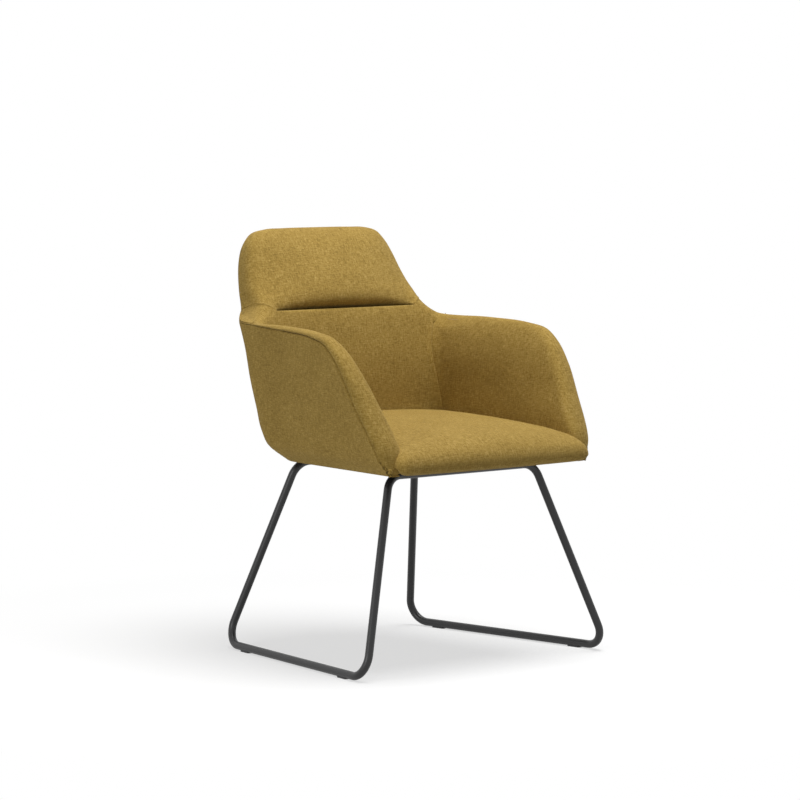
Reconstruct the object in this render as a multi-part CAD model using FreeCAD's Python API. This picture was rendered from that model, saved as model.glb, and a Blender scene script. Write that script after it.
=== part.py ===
import FreeCAD, Part
import math
import os

os.makedirs("parts", exist_ok=True)

V = FreeCAD.Vector

# All sizes are in mm. X runs across the chair, +X to the sitter's left.
# -Y is the front, +Z is up, and the floor is Z = 0.
# The origin is on the floor under the middle of the whole chair.
ORIGIN_Y = 4.0          # the runners' middle lies this far in front of the origin

# Tubular sled base
TUBE_R = 8.0
TUBE_WALL = 2.0
BEND_R = 38.0           # centreline radius of every bend
GLIDE_DROP = 1.2        # how far the glides hold the runners off the floor
RUNNER_Z = TUBE_R + GLIDE_DROP
CROSSBAR_Z = 386.0
RUNNER_REAR = (247.2, 271.0)
RUNNER_FRONT = (316.8, -271.0)
BAR_REAR = (156.8, 145.9)
BAR_FRONT = (190.0, -187.5)
SLEEVE_LENGTH = 60.0
GLIDE_SIZE = (34.0, 12.0, 5.0)
GLIDE_FROM_CORNER = 85.0
GLIDE_PEG_R = 2.5

# Mounting plates welded on the crossbars, two screws each
PLATE_SIZE = (56.0, 44.0, 5.0)
PLATE_X_FRONT = 120.0
PLATE_X_REAR = 84.0
PLATE_INWARD = 13.0     # how far each plate's middle lies inwards of its crossbar
SCREW_FROM_BAR = (15.0, 27.0)
SCREW_OFFSET = 16.0     # from the plate's middle, along the crossbar
SCREW_R = 3.0
SCREW_HEAD_R = 5.5
SCREW_LENGTH = 20.0
WASHER_R = 6.5
WASHER_THICK = 1.2
TEE_FLANGE_R = 9.5
TEE_BARREL_R = 4.0
HOLE_R = 3.4

# Seat carcass
SEAT_UNDERSIDE = 398.0
COVER_THICK = 1.6
BOARD_THICK = 18.0
BOARD_FRONT = -262.0
BOARD_Z = SEAT_UNDERSIDE + COVER_THICK
SEAT_FOAM_Z = BOARD_Z + BOARD_THICK

# Upholstered shell: padded outer panel, bent plywood core, inner pad
PANEL_THICK = 9.0
CORE_THICK = 10.0
CORE_INSET = PANEL_THICK + CORE_THICK
SHELL_BOTTOM = 398.0
SHELL_TOP = 855.0
FRONT_REACH = 300.0     # the outlines run this far in front of the middle
ARM_ROLL = 14.0
REAR_ROLL = 14.0

# Outline of the shell at each height: height, half width at the front end,
# half width where the straight side ends, Y where it ends, corner radius
OUTER_STATIONS = (
    (SHELL_BOTTOM, 261, 210, 52, 118),
    (422, 281, 235, 97, 90),
    (452, 288, 245, 124, 74),
    (500, 297, 249, 143, 65),
    (560, 307, 252, 153, 65),
    (620, 316, 254, 166, 65),
    (680, 321, 253, 190, 65),
    (740, 322, 251, 220, 65),
    (800, 322, 250, 241, 65),
    (860, 322, 248, 241, 65),
)
INNER_STATIONS = (
    (390, 223, 204, 28, 25),
    (440, 225, 207, 48, 25),
    (485, 231, 209, 67, 25),
    (540, 248, 211, 90, 25),
    (595, 266, 214, 113, 25),
    (640, 284, 224, 133, 25),
    (672, 303, 236, 148, 22),
    (704, 314, 240, 160, 22),
)
CORNER_END = 85.0       # the corner arcs end here, in degrees, and the rear arc starts

# Front of the upper back pad: height, half width of its crown, Y at the sides, Y in the middle
CREASE_Z = 694.0
UPPER_STATIONS = (
    (CREASE_Z, 205, 204, 190),
    (712, 201, 209, 181),
    (745, 192, 224, 191),
    (790, 176, 245, 216),
    (828, 160, 260, 243),
    (846, 148, 272, 260),
    (860, 140, 300, 292),
)
PAD_ROLL = 30.0         # width and depth of the roll at each side of the upper pad

# The arms' pads butt against the back pads on this slanted plane: two (Y, Z) points
JOINT_LOW = (84.0, 470.0)
JOINT_HIGH = (163.0, 672.0)
REAR_SEAM_X = 150.0     # the upright seams between the side panels and the back panel


def station_outline(station, inset):
    """Plan outline at one height, moved inwards by the inset."""
    z, half_front, half_rear, side_end, radius = station
    slope = math.atan2(half_front - half_rear, side_end + FRONT_REACH)
    nx, ny = math.cos(slope), math.sin(slope)
    cx, cy = half_rear - radius * nx, side_end - radius * ny
    end = math.radians(CORNER_END)
    r = radius - inset

    def corner(angle):
        return V(cx + r * math.cos(angle), cy + r * math.sin(angle), z)

    front = V(half_front - inset * nx, -FRONT_REACH - inset * ny, z)
    rear_radius = cx / math.cos(end) + radius
    rear = V(0, cy - cx * math.tan(end) + rear_radius - inset, z)
    half = [front, corner(slope), corner((slope + end) / 2), corner(end)]
    left = [V(-p.x, p.y, p.z) for p in half]
    return Part.Wire([
        Part.makeLine(left[0], half[0]),
        Part.makeLine(half[0], half[1]),
        Part.Arc(half[1], half[2], half[3]).toShape(),
        Part.Arc(half[3], rear, left[3]).toShape(),
        Part.Arc(left[3], left[2], left[1]).toShape(),
        Part.makeLine(left[1], left[0]),
    ])


def hull(stations, inset=0.0):
    """Solid inside the shell's outline, from its lowest to its highest station."""
    return Part.makeLoft([station_outline(s, inset) for s in stations], True, False)


def board_hull(inset):
    """The same for the hidden layers: straight bands from station to station."""
    return Part.makeLoft([station_outline(s, inset) for s in OUTER_STATIONS], True, True)


def prism_x(points, half_width=420.0):
    """Solid from a side outline of (Y, Z) corners and arcs, through the whole width."""
    return extrude(points, lambda y, z: V(-half_width, y, z), V(2 * half_width, 0, 0))


def prism_y(points, start=-420.0, depth=900.0):
    """Solid from a front outline of (X, Z) corners and arcs, through the whole depth."""
    return extrude(points, lambda x, z: V(x, start, z), V(0, depth, 0))


def extrude(points, place, direction):
    """Extrude a closed outline. A point with a third value is the middle of an arc."""
    edges = []
    last = place(*points[0])
    middle = None
    for point in list(points[1:]) + [points[0]]:
        here = place(point[0], point[1])
        if len(point) == 3:
            middle = here
            continue
        if middle is None:
            edges.append(Part.makeLine(last, here))
        else:
            edges.append(Part.Arc(last, middle, here).toShape())
        last, middle = here, None
    return Part.Face(Part.Wire(edges)).extrude(direction)


ARC = "middle of an arc"

# Side view of the whole upholstery: front of the arm, its top, the back's rear roll
ARM_LINE = (
    (-286, SHELL_BOTTOM - 10),
    (-290, 428),
    (-274, 469, ARC),
    (-248, 519),
    (-200, 594),
    (-160, 645, ARC),
    (-92, 663),
    (28, 669.5),
    (172, 672),
    (172, 900),
    (400, 900),
    (400, SHELL_BOTTOM - 10),
)
# Side view of the outer panels and the core, up to the seam under the padded lip
SEAM_LINE = (
    (-273, SHELL_BOTTOM - 10),
    (-256, 431),
    (-204, 519),
    (-170, 580),
    (-136, 630, ARC),
    (-68, 653),
    (22, 660),
    (172, 665),
    (172, 900),
    (400, 900),
    (400, SHELL_BOTTOM - 10),
)


def back_front_view(i):
    """Front view of the back, everything below the arms included, drawn in by i."""
    right = [
        (400, SHELL_BOTTOM - 20),
        (400, 672),
        (234 - i, 672),
        (215 - i, 697),
        (200 - i, 760, ARC),
        (171 - i, 828),
        (160 - i, 844 - i / 2, ARC),
        (134 - i, SHELL_TOP - 2 - i),
    ]
    left = [(-point[0],) + point[1:] for point in reversed(right)]
    return right + [(0, SHELL_TOP - i, ARC)] + left


def upper_front(station):
    """Outline of the space in front of the upper back pad at one height."""
    z, half, y_side, y_middle = station
    far = 420
    return Part.Wire(chain([
        V(-far, -far, z),
        V(far, -far, z),
        V(far, y_side + PAD_ROLL, z),
        V(half + PAD_ROLL, y_side + PAD_ROLL, z),
        V(half, y_side, z),
        (V(0, y_middle, z), V(-half, y_side, z)),
        V(-half - PAD_ROLL, y_side + PAD_ROLL, z),
        V(-far, y_side + PAD_ROLL, z),
    ]))


def chain(points, close=True):
    """Edges through the points. A pair is an arc's middle and end."""
    edges = []
    last = points[0]
    for point in points[1:] + points[:1] * close:
        if isinstance(point, tuple):
            edges.append(Part.Arc(last, point[0], point[1]).toShape())
            last = point[1]
        else:
            edges.append(Part.makeLine(last, point))
            last = point
    return edges


def slab(z_low, z_high, y_front=-500.0, y_rear=500.0, half_width=450.0):
    """Box between two heights and two Y values."""
    size = (2 * half_width, y_rear - y_front, z_high - z_low)
    return Part.makeBox(*size, V(-half_width, y_front, z_low))


def rounded_envelope(outer):
    """The whole upholstery's outer form, with its outer edges rolled."""
    body = outer.common(prism_x(ARM_LINE)).common(prism_y(back_front_view(0)))
    return roll_edges(roll_edges(body, arm_edge, ARM_ROLL), rear_edge, REAR_ROLL)


def roll_edges(body, wanted, radius):
    return body.makeFillet(radius, [e for e in body.Edges if wanted(e)])


def arm_edge(edge):
    """True for the outer edges of the arms' front and top."""
    a, b = edge.Vertexes[0].Point, edge.Vertexes[-1].Point
    outside = min(abs(a.x), abs(b.x)) > 255 and a.x * b.x > 0
    along = abs(a.y - b.y) > 30
    return outside and along and min(a.z, b.z) > 427 and max(a.y, b.y) < 30


def rear_edge(edge):
    """True for the back's rear edges: both sides, the corners and the top."""
    box = edge.BoundBox
    centre = edge.CenterOfMass
    shell_face = centre.y > 0.42 * (centre.z - 697) + 245
    return box.ZMin > 696 and box.YLength < 60 and shell_face


class Shell:
    """The solids that the upholstered shell's pieces are cut from."""

    def __init__(self):
        outer = hull(OUTER_STATIONS)
        self.under_panel = board_hull(PANEL_THICK)
        self.inside_core = board_hull(CORE_INSET)
        lap = slab(SHELL_BOTTOM - 20, CREASE_Z)
        self.sitting_space = hull(INNER_STATIONS).common(lap)
        upper_space = Part.makeLoft([upper_front(s) for s in UPPER_STATIONS], True, False)
        padded = rounded_envelope(outer).cut(self.sitting_space).cut(upper_space)
        hard_zone = prism_x(SEAM_LINE).common(prism_y(back_front_view(PANEL_THICK)))
        hard = padded.common(hard_zone)
        self.padded = padded
        self.panels = hard.cut(self.under_panel)
        self.core = hard.common(self.under_panel).cut(self.inside_core)
        pads = padded.cut(hard_zone.cut(self.inside_core))
        self.pads = pads.cut(slab(SHELL_BOTTOM - 5, SEAT_FOAM_Z, BOARD_FRONT))


def behind_joint():
    """Everything behind the slanted plane where the arm pads meet the back pads."""
    lean = (JOINT_HIGH[0] - JOINT_LOW[0]) / (JOINT_HIGH[1] - JOINT_LOW[1])
    low = JOINT_LOW[0] - lean * (JOINT_LOW[1] - 380)
    return prism_x([(low, 380), (low + lean * 540, 920), (500, 920), (500, 380)])


def mirror_x(shape):
    return shape.mirror(V(0, 0, 0), V(1, 0, 0))


def sled_corners():
    """Corners of one half of the base, on the -X side, from front bar to rear bar."""
    front_bar, rear_bar = BAR_FRONT, BAR_REAR
    return [
        V(0, front_bar[1], CROSSBAR_Z),
        V(-front_bar[0], front_bar[1], CROSSBAR_Z),
        V(-RUNNER_FRONT[0], RUNNER_FRONT[1], RUNNER_Z),
        V(-RUNNER_REAR[0], RUNNER_REAR[1], RUNNER_Z),
        V(-rear_bar[0], rear_bar[1], CROSSBAR_Z),
        V(0, rear_bar[1], CROSSBAR_Z),
    ]


def bent_path(corners, radius):
    """Wire through the corners, each inner corner bent to the radius."""
    edges = []
    last = corners[0]
    for before, corner, after in zip(corners, corners[1:], corners[2:]):
        into = (before - corner).normalize()
        away = (after - corner).normalize()
        half = into.getAngle(away) / 2
        start = corner + into * (radius / math.tan(half))
        end = corner + away * (radius / math.tan(half))
        inward = (into + away).normalize()
        middle = corner + inward * (radius / math.sin(half) - radius)
        edges.append(Part.makeLine(last, start))
        edges.append(Part.Arc(start, middle, end).toShape())
        last = end
    edges.append(Part.makeLine(last, corners[-1]))
    return Part.Wire(edges)


def swept_tube(path, direction, start, radius):
    circle = Part.Wire([Part.makeCircle(radius, start, direction)])
    return path.makePipeShell([circle], True, False)


def sled_tube():
    """Half of the base: half crossbar, leg, runner, leg, half crossbar in one bent tube."""
    corners = sled_corners()
    path = bent_path(corners, BEND_R)
    start, along = corners[0], V(-1, 0, 0)
    bore = swept_tube(path, along, start, TUBE_R - TUBE_WALL)
    tube = swept_tube(path, along, start, TUBE_R).cut(bore)
    for hole in glide_places():
        tube = tube.cut(peg(hole, GLIDE_PEG_R))
    return tube


def splice_sleeve(bar_y):
    """Spigot inside the crossbar, where the two halves meet and are welded."""
    start = V(-SLEEVE_LENGTH / 2, bar_y, CROSSBAR_Z)
    return Part.makeCylinder(TUBE_R - TUBE_WALL, SLEEVE_LENGTH, start, V(1, 0, 0))


def glide_places():
    """Middle and direction of the two glides under the -X runner, front one first."""
    front = V(-RUNNER_FRONT[0], RUNNER_FRONT[1], 0)
    rear = V(-RUNNER_REAR[0], RUNNER_REAR[1], 0)
    along = (rear - front).normalize()
    return [(front + along * GLIDE_FROM_CORNER, along), (rear - along * GLIDE_FROM_CORNER, along)]


def peg(place, radius):
    bottom = place[0] + V(0, 0, GLIDE_DROP)
    return Part.makeCylinder(radius, TUBE_WALL + 2.0, bottom, V(0, 0, 1))


def glide(place):
    """Nylon shoe that cradles the runner from below, with a peg through its wall."""
    centre, along = place
    length, width, height = GLIDE_SIZE
    shoe = Part.makeBox(length, width, height, V(-length / 2, -width / 2, 0))
    upright = [e for e in shoe.Edges if e.BoundBox.ZLength > height / 2]
    shoe = shoe.makeFillet(width / 2 - 0.5, upright)
    shoe.rotate(V(0, 0, 0), V(0, 0, 1), math.degrees(math.atan2(along.y, along.x)))
    shoe.translate(centre)
    start = centre - along * length + V(0, 0, RUNNER_Z)
    shoe = shoe.cut(Part.makeCylinder(TUBE_R, 2 * length, start, along))
    return shoe.fuse(peg(place, GLIDE_PEG_R)).removeSplitter()


def screw_places(plate_x, bar_y):
    """The two screws of a plate, both on the inner side of its crossbar."""
    inwards, outwards = math.copysign(1, -bar_y), math.copysign(SCREW_OFFSET, plate_x)
    near, far = SCREW_FROM_BAR
    return [
        V(plate_x + outwards, bar_y + inwards * near, 0),
        V(plate_x - outwards, bar_y + inwards * far, 0),
    ]


def plate_places():
    """Name of each mounting plate, its middle in X, and the Y of its crossbar."""
    front_y, rear_y = BAR_FRONT[1], BAR_REAR[1]
    return {
        "front_right": (-PLATE_X_FRONT, front_y),
        "front_left": (PLATE_X_FRONT, front_y),
        "rear_right": (-PLATE_X_REAR, rear_y),
        "rear_left": (PLATE_X_REAR, rear_y),
    }


def all_screw_places():
    return [p for x, y in plate_places().values() for p in screw_places(x, y)]


def mount_plate(x, bar_y):
    """Flat plate with a hollow that seats on the tube, and two screw holes."""
    length, width, thick = PLATE_SIZE
    low = SEAT_UNDERSIDE - thick
    middle = bar_y + math.copysign(PLATE_INWARD, -bar_y)
    plate = Part.makeBox(length, width, thick, V(x - length / 2, middle - width / 2, low))
    upright = [e for e in plate.Edges if e.BoundBox.ZLength > thick / 2]
    plate = plate.makeFillet(6.0, upright)
    tube_start = V(x - length, bar_y, CROSSBAR_Z)
    plate = plate.cut(Part.makeCylinder(TUBE_R, 2 * length, tube_start, V(1, 0, 0)))
    for place in screw_places(x, bar_y):
        plate = plate.cut(Part.makeCylinder(HOLE_R, thick * 2, place + V(0, 0, low - 2)))
    return plate


def base_screws():
    """Button head screws up through the plates into the tee nuts."""
    under_head = SEAT_UNDERSIDE - PLATE_SIZE[2] - WASHER_THICK
    screws = []
    for place in all_screw_places():
        shank = Part.makeCylinder(SCREW_R, SCREW_LENGTH, place + V(0, 0, under_head))
        head = Part.makeCone(SCREW_HEAD_R - 2.5, SCREW_HEAD_R, 3.2, place + V(0, 0, under_head - 3.2))
        screws.append(head.fuse(shank).removeSplitter())
    return Part.makeCompound(screws)


def base_washers():
    low = SEAT_UNDERSIDE - PLATE_SIZE[2] - WASHER_THICK
    rings = []
    for place in all_screw_places():
        ring = Part.makeCylinder(WASHER_R, WASHER_THICK, place + V(0, 0, low))
        rings.append(ring.cut(Part.makeCylinder(SCREW_R, 4, place + V(0, 0, low - 1))))
    return Part.makeCompound(rings)


def tee_nut_solids(bore_r):
    """Flanged nuts sunk in the board's top. A bore of 0 gives the pockets that hold them."""
    nuts = []
    for place in all_screw_places():
        barrel = Part.makeCylinder(TEE_BARREL_R, BOARD_THICK - 2, place + V(0, 0, BOARD_Z + 2))
        flange = Part.makeCylinder(TEE_FLANGE_R, 1.5, place + V(0, 0, SEAT_FOAM_Z - 1.5))
        nut = barrel.fuse(flange)
        if bore_r:
            nut = nut.cut(Part.makeCylinder(bore_r, BOARD_THICK + 2, place + V(0, 0, BOARD_Z)))
        nuts.append(nut.removeSplitter())
    return nuts


def shell_screw_places(under_panel):
    """Start on the core's outer face and inward direction of each wood screw."""
    height = BOARD_Z + BOARD_THICK / 2
    places = []
    for y in (-180, -60, 40):
        face = under_panel.common(Part.makeLine(V(0, y, height), V(400, y, height)))
        x = face.BoundBox.XMax - 1.5
        places += [(V(x, y, height), V(-1, 0, 0)), (V(-x, y, height), V(1, 0, 0))]
    for x in (-90, 0, 90):
        face = under_panel.common(Part.makeLine(V(x, 0, height), V(x, 400, height)))
        places.append((V(x, face.BoundBox.YMax - 1.5, height), V(0, -1, 0)))
    return places


def shell_screws(under_panel):
    """Countersunk wood screws through the core into the board's edge."""
    screws = []
    for start, inward in shell_screw_places(under_panel):
        head = Part.makeCone(4.0, 2.0, 2.6, start, inward)
        shank = Part.makeCylinder(2.0, 36.0, start, inward)
        screws.append(head.fuse(shank).removeSplitter())
    return screws


def seat_layer(inside_core, low, high, drills):
    """Flat layer filling the core's inside between two heights, with drilled holes."""
    layer = inside_core.common(slab(low, high, BOARD_FRONT))
    for drill in drills:
        layer = layer.cut(drill)
    return layer


# Seat cushion sections: Y, half width, top at the sides, crown above that
SEAT_SECTIONS = (
    (120, 203.5, 474, 7),
    (-20, 210.8, 471, 14),
    (-160, 217.6, 462, 15),
    (-300, 223.6, 447, 12),
)
SIDE_DRAW = 5.0         # how far the cushion's sides pull in at the bottom
SIDE_HOLLOW = 2.6       # and at half height
EDGE_ROLL = 14.0
SEAT_LOW = 395.0        # underside of the waterfall front
# Side view of the cushion's waterfall front
SEAT_LINE = (
    (120, SEAT_LOW),
    (120, 520),
    (-205, 520),
    (-205, 476),
    (-238, 473),
    (-281, 455, ARC),
    (-300, 412),
    (-296, 399, ARC),
    (-284, SEAT_LOW),
)
# Plan of its front corners and its slightly bowed front edge
SEAT_CORNER = ((300, -262), (222, -274), (216, -289, ARC), (200, -295))
SEAT_BOW = -300.0


def seat_section(section):
    """Crowned outline of the cushion across the chair, sides drawn in."""
    y, half, top, crown = section
    low = SHELL_BOTTOM - 5
    roll = EDGE_ROLL
    edge_z = top - roll
    diag = roll * (1 - math.cos(math.pi / 4))
    return Part.Wire(chain([
        V(-half + SIDE_DRAW, y, low),
        V(half - SIDE_DRAW, y, low),
        (V(half - SIDE_HOLLOW, y, (low + edge_z) / 2), V(half, y, edge_z)),
        (V(half - diag, y, top - diag), V(half - roll, y, top)),
        (V(0, y, top + crown), V(-half + roll, y, top)),
        (V(-half + diag, y, top - diag), V(-half, y, edge_z)),
        (V(-half + SIDE_HOLLOW, y, (low + edge_z) / 2), V(-half + SIDE_DRAW, y, low)),
    ], close=False))


def seat_plan():
    """Upright prism over the cushion's plan, its front corners rounded."""
    left = [(-point[0],) + point[1:] for point in reversed(SEAT_CORNER)]
    outline = [(300, 200)] + list(SEAT_CORNER) + [(0, SEAT_BOW, ARC)] + left + [(-300, 200)]
    return extrude(outline, lambda x, y: V(x, y, 380), V(0, 0, 160))


def seat_cushion(sitting_space):
    """Foam cushion with a crown and a waterfall front that laps over the board."""
    block = Part.makeLoft([seat_section(s) for s in SEAT_SECTIONS], True, False)
    block = block.common(prism_x(SEAT_LINE)).common(seat_plan())
    block = block.cut(slab(SHELL_BOTTOM - 20, SEAT_FOAM_Z, BOARD_FRONT))
    return block.common(sitting_space)


def save(name, shape):
    """Write one node, moved so that the origin is under the chair's middle."""
    placed = shape.copy()
    placed.translate(V(0, -ORIGIN_Y, 0))
    placed.exportStep("parts/" + name + ".step")
    box = placed.BoundBox
    size = " x ".join("%.1f" % v for v in (box.XLength, box.YLength, box.ZLength))
    print(name, size, "solids", len(placed.Solids), "valid", placed.isValid())


def save_base():
    right = sled_tube()
    save("sled_tube_right", right)
    save("sled_tube_left", mirror_x(right))
    save("front_splice_sleeve", splice_sleeve(BAR_FRONT[1]))
    save("rear_splice_sleeve", splice_sleeve(BAR_REAR[1]))
    for name, (x, y) in plate_places().items():
        save("mount_plate_" + name, mount_plate(x, y))
    for end, place in zip(("front", "rear"), glide_places()):
        shoe = glide(place)
        save("glide_" + end + "_right", shoe)
        save("glide_" + end + "_left", mirror_x(shoe))
    save("base_screws", base_screws())
    save("base_washers", base_washers())
    save("tee_nuts", Part.makeCompound(tee_nut_solids(SCREW_R)))


def save_seat(shell):
    pockets = tee_nut_solids(0)
    drills = [Part.makeCylinder(HOLE_R, 40, p + V(0, 0, 390)) for p in all_screw_places()]
    wood_screws = shell_screws(shell.under_panel)
    board = seat_layer(shell.inside_core, BOARD_Z, SEAT_FOAM_Z, pockets + drills + wood_screws)
    save("seat_board", board)
    save("underside_cover", seat_layer(shell.inside_core, SEAT_UNDERSIDE, BOARD_Z, drills))
    core = shell.core
    for screw in wood_screws:
        core = core.cut(screw)
    save("shell_core", core)
    save("shell_screws", Part.makeCompound(wood_screws))
    save("seat_cushion", seat_cushion(shell.sitting_space))


def save_upholstery(shell):
    rear_strip = Part.makeBox(2 * REAR_SEAM_X, 400, 600, V(-REAR_SEAM_X, 50, SHELL_BOTTOM - 20))
    save("outer_panel_back", shell.panels.common(rear_strip))
    right_half = Part.makeBox(450, 1000, 600, V(-450, -500, SHELL_BOTTOM - 20))
    side_panel = shell.panels.cut(rear_strip).common(right_half)
    save("outer_panel_right", side_panel)
    save("outer_panel_left", mirror_x(side_panel))
    behind = behind_joint()
    below_crease = slab(SHELL_BOTTOM - 20, CREASE_Z)
    lower_pads = shell.pads.common(below_crease)
    arm_pad = lower_pads.cut(behind).common(right_half)
    save("inner_arm_right", arm_pad)
    save("inner_arm_left", mirror_x(arm_pad))
    save("back_pad_lower", lower_pads.common(behind))
    save("back_pad_upper", shell.pads.cut(below_crease))


save_base()
whole_shell = Shell()
save_seat(whole_shell)
save_upholstery(whole_shell)
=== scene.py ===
import math

import bmesh
import bpy
import numpy as np
from mathutils import Matrix, Vector


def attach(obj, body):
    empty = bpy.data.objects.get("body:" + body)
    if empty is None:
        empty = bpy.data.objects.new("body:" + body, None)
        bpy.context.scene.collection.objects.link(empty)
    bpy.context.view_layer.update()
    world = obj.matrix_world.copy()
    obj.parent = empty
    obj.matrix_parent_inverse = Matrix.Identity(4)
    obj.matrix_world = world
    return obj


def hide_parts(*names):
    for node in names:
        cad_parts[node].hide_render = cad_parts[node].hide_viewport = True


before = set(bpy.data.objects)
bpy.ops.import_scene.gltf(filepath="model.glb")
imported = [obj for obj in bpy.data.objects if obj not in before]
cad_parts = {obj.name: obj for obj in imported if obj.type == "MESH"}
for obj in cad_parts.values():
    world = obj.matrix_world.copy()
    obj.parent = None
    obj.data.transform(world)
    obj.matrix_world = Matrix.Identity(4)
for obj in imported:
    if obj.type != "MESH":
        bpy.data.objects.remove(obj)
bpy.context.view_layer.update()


def new_material(name):
    """Node material with only a shader and its output."""
    material = bpy.data.materials.new(name)
    material.use_nodes = True
    tree = material.node_tree
    tree.nodes.clear()
    output = tree.nodes.new("ShaderNodeOutputMaterial")
    shader = tree.nodes.new("ShaderNodeBsdfPrincipled")
    tree.links.new(shader.outputs[0], output.inputs["Surface"])
    return material, tree, shader


class Nodes:
    """Short calls for building node networks."""

    def __init__(self, tree):
        self.tree = tree
        self.coordinates = tree.nodes.new("ShaderNodeTexCoord").outputs["Object"]

    def put(self, socket, value):
        if isinstance(value, bpy.types.NodeSocket):
            self.tree.links.new(value, socket)
        else:
            socket.default_value = value

    def math(self, operation, a, b=0.0, c=0.0, clamp=False):
        node = self.tree.nodes.new("ShaderNodeMath")
        node.operation = operation
        node.use_clamp = clamp
        for socket, value in zip(node.inputs, (a, b, c)):
            self.put(socket, value)
        return node.outputs[0]

    def stretched(self, source, scale, offset=(0, 0, 0)):
        node = self.tree.nodes.new("ShaderNodeMapping")
        self.put(node.inputs["Vector"], source)
        node.inputs["Scale"].default_value = scale
        node.inputs["Location"].default_value = offset
        return node.outputs[0]

    def noise(self, source, scale, detail=2.0, roughness=0.5):
        node = self.tree.nodes.new("ShaderNodeTexNoise")
        self.put(node.inputs["Vector"], source)
        node.inputs["Scale"].default_value = scale
        node.inputs["Detail"].default_value = detail
        node.inputs["Roughness"].default_value = roughness
        return node.outputs["Fac"]

    def ramp(self, value, low, high, to_low=0.0, to_high=1.0):
        node = self.tree.nodes.new("ShaderNodeMapRange")
        for name, number in (("From Min", low), ("From Max", high),
                             ("To Min", to_low), ("To Max", to_high)):
            node.inputs[name].default_value = number
        self.put(node.inputs["Value"], value)
        return node.outputs["Result"]

    def mix(self, share, a, b):
        node = self.tree.nodes.new("ShaderNodeMix")
        node.data_type = "RGBA"
        self.put(node.inputs[0], share)
        self.put(node.inputs[6], a)
        self.put(node.inputs[7], b)
        return node.outputs[2]

    def bump(self, height, strength, distance):
        node = self.tree.nodes.new("ShaderNodeBump")
        node.inputs["Strength"].default_value = strength
        node.inputs["Distance"].default_value = distance
        self.put(node.inputs["Height"], height)
        return node.outputs["Normal"]

    def split(self, source):
        node = self.tree.nodes.new("ShaderNodeSeparateXYZ")
        self.put(node.inputs[0], source)
        return node.outputs


def set_shader(shader, **values):
    for name, value in values.items():
        shader.inputs[name.replace("_", " ")].default_value = value


def join(tree, shader, colour, roughness, normal):
    """Colour, roughness and relief of a surface, linked to its shader."""
    for name, socket in (("Base Color", colour), ("Roughness", roughness), ("Normal", normal)):
        tree.links.new(socket, shader.inputs[name])


MUSTARD_DARK = (0.205, 0.127, 0.024, 1)
MUSTARD_MID = (0.345, 0.222, 0.048, 1)
MUSTARD_LIGHT = (0.520, 0.360, 0.105, 1)
YARN = 0.0017            # metres between neighbouring yarns
PLY = 0.003              # metres between the dark plies on the plywood's edges


def woven_fabric():
    """Heathered wool weave. Its yarns run along the two axes that the surface faces."""
    material, tree, shader = new_material("wool_weave")
    n = Nodes(tree)
    facing = n.split(tree.nodes.new("ShaderNodeNewGeometry").outputs["True Normal"])
    weights = [n.math("POWER", n.math("ABSOLUTE", part), 6.0) for part in facing]
    total = n.math("ADD", n.math("ADD", weights[0], weights[1]), weights[2])
    weights = [n.math("DIVIDE", w, total) for w in weights]
    place = n.split(n.coordinates)
    pairs = ((1, 2), (0, 2), (0, 1))
    slow, quick = 105.0, 560.0         # noise scales along a yarn and across it
    tones, heights = [], []
    for axis, (a, b) in enumerate(pairs):
        weft_scale, warp_scale = [slow] * 3, [slow] * 3
        weft_scale[b] = warp_scale[a] = quick
        weft = n.noise(n.stretched(n.coordinates, weft_scale, (3, 7, 1)), 1.0, 3.0, 0.6)
        warp = n.noise(n.stretched(n.coordinates, warp_scale, (9, 2, 5)), 1.0, 3.0, 0.6)
        wave_a = n.math("SINE", n.math("MULTIPLY", place[a], 2 * math.pi / YARN))
        wave_b = n.math("SINE", n.math("MULTIPLY", place[b], 2 * math.pi / YARN))
        check = n.math("MULTIPLY", wave_a, wave_b)
        on_top = n.ramp(check, -0.35, 0.35)
        tone = n.math("ADD", n.math("MULTIPLY", weft, on_top),
                      n.math("MULTIPLY", warp, n.math("SUBTRACT", 1.0, on_top)))
        tones.append(n.math("MULTIPLY", tone, weights[axis]))
        bulge = n.math("ABSOLUTE", check)
        heights.append(n.math("MULTIPLY", n.math("ADD", bulge, weft), weights[axis]))
    tone = n.math("ADD", n.math("ADD", tones[0], tones[1]), tones[2])
    height = n.math("ADD", n.math("ADD", heights[0], heights[1]), heights[2])
    cloudy = n.noise(n.coordinates, 14.0, 2.0, 0.5)
    tone = n.math("ADD", tone, n.math("MULTIPLY", n.math("SUBTRACT", cloudy, 0.5), 0.10))
    dark = n.ramp(tone, 0.34, 0.52)
    light = n.ramp(tone, 0.52, 0.70)
    colour = n.mix(light, n.mix(dark, MUSTARD_DARK, MUSTARD_MID), MUSTARD_LIGHT)
    join(tree, shader, colour, n.ramp(tone, 0.3, 0.7, 0.95, 0.82), n.bump(height, 0.35, 0.0006))
    set_shader(shader, Sheen_Weight=0.12, Sheen_Roughness=0.45, Specular_IOR_Level=0.2)
    shader.inputs["Sheen Tint"].default_value = (0.95, 0.85, 0.5, 1)
    return material


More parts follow.
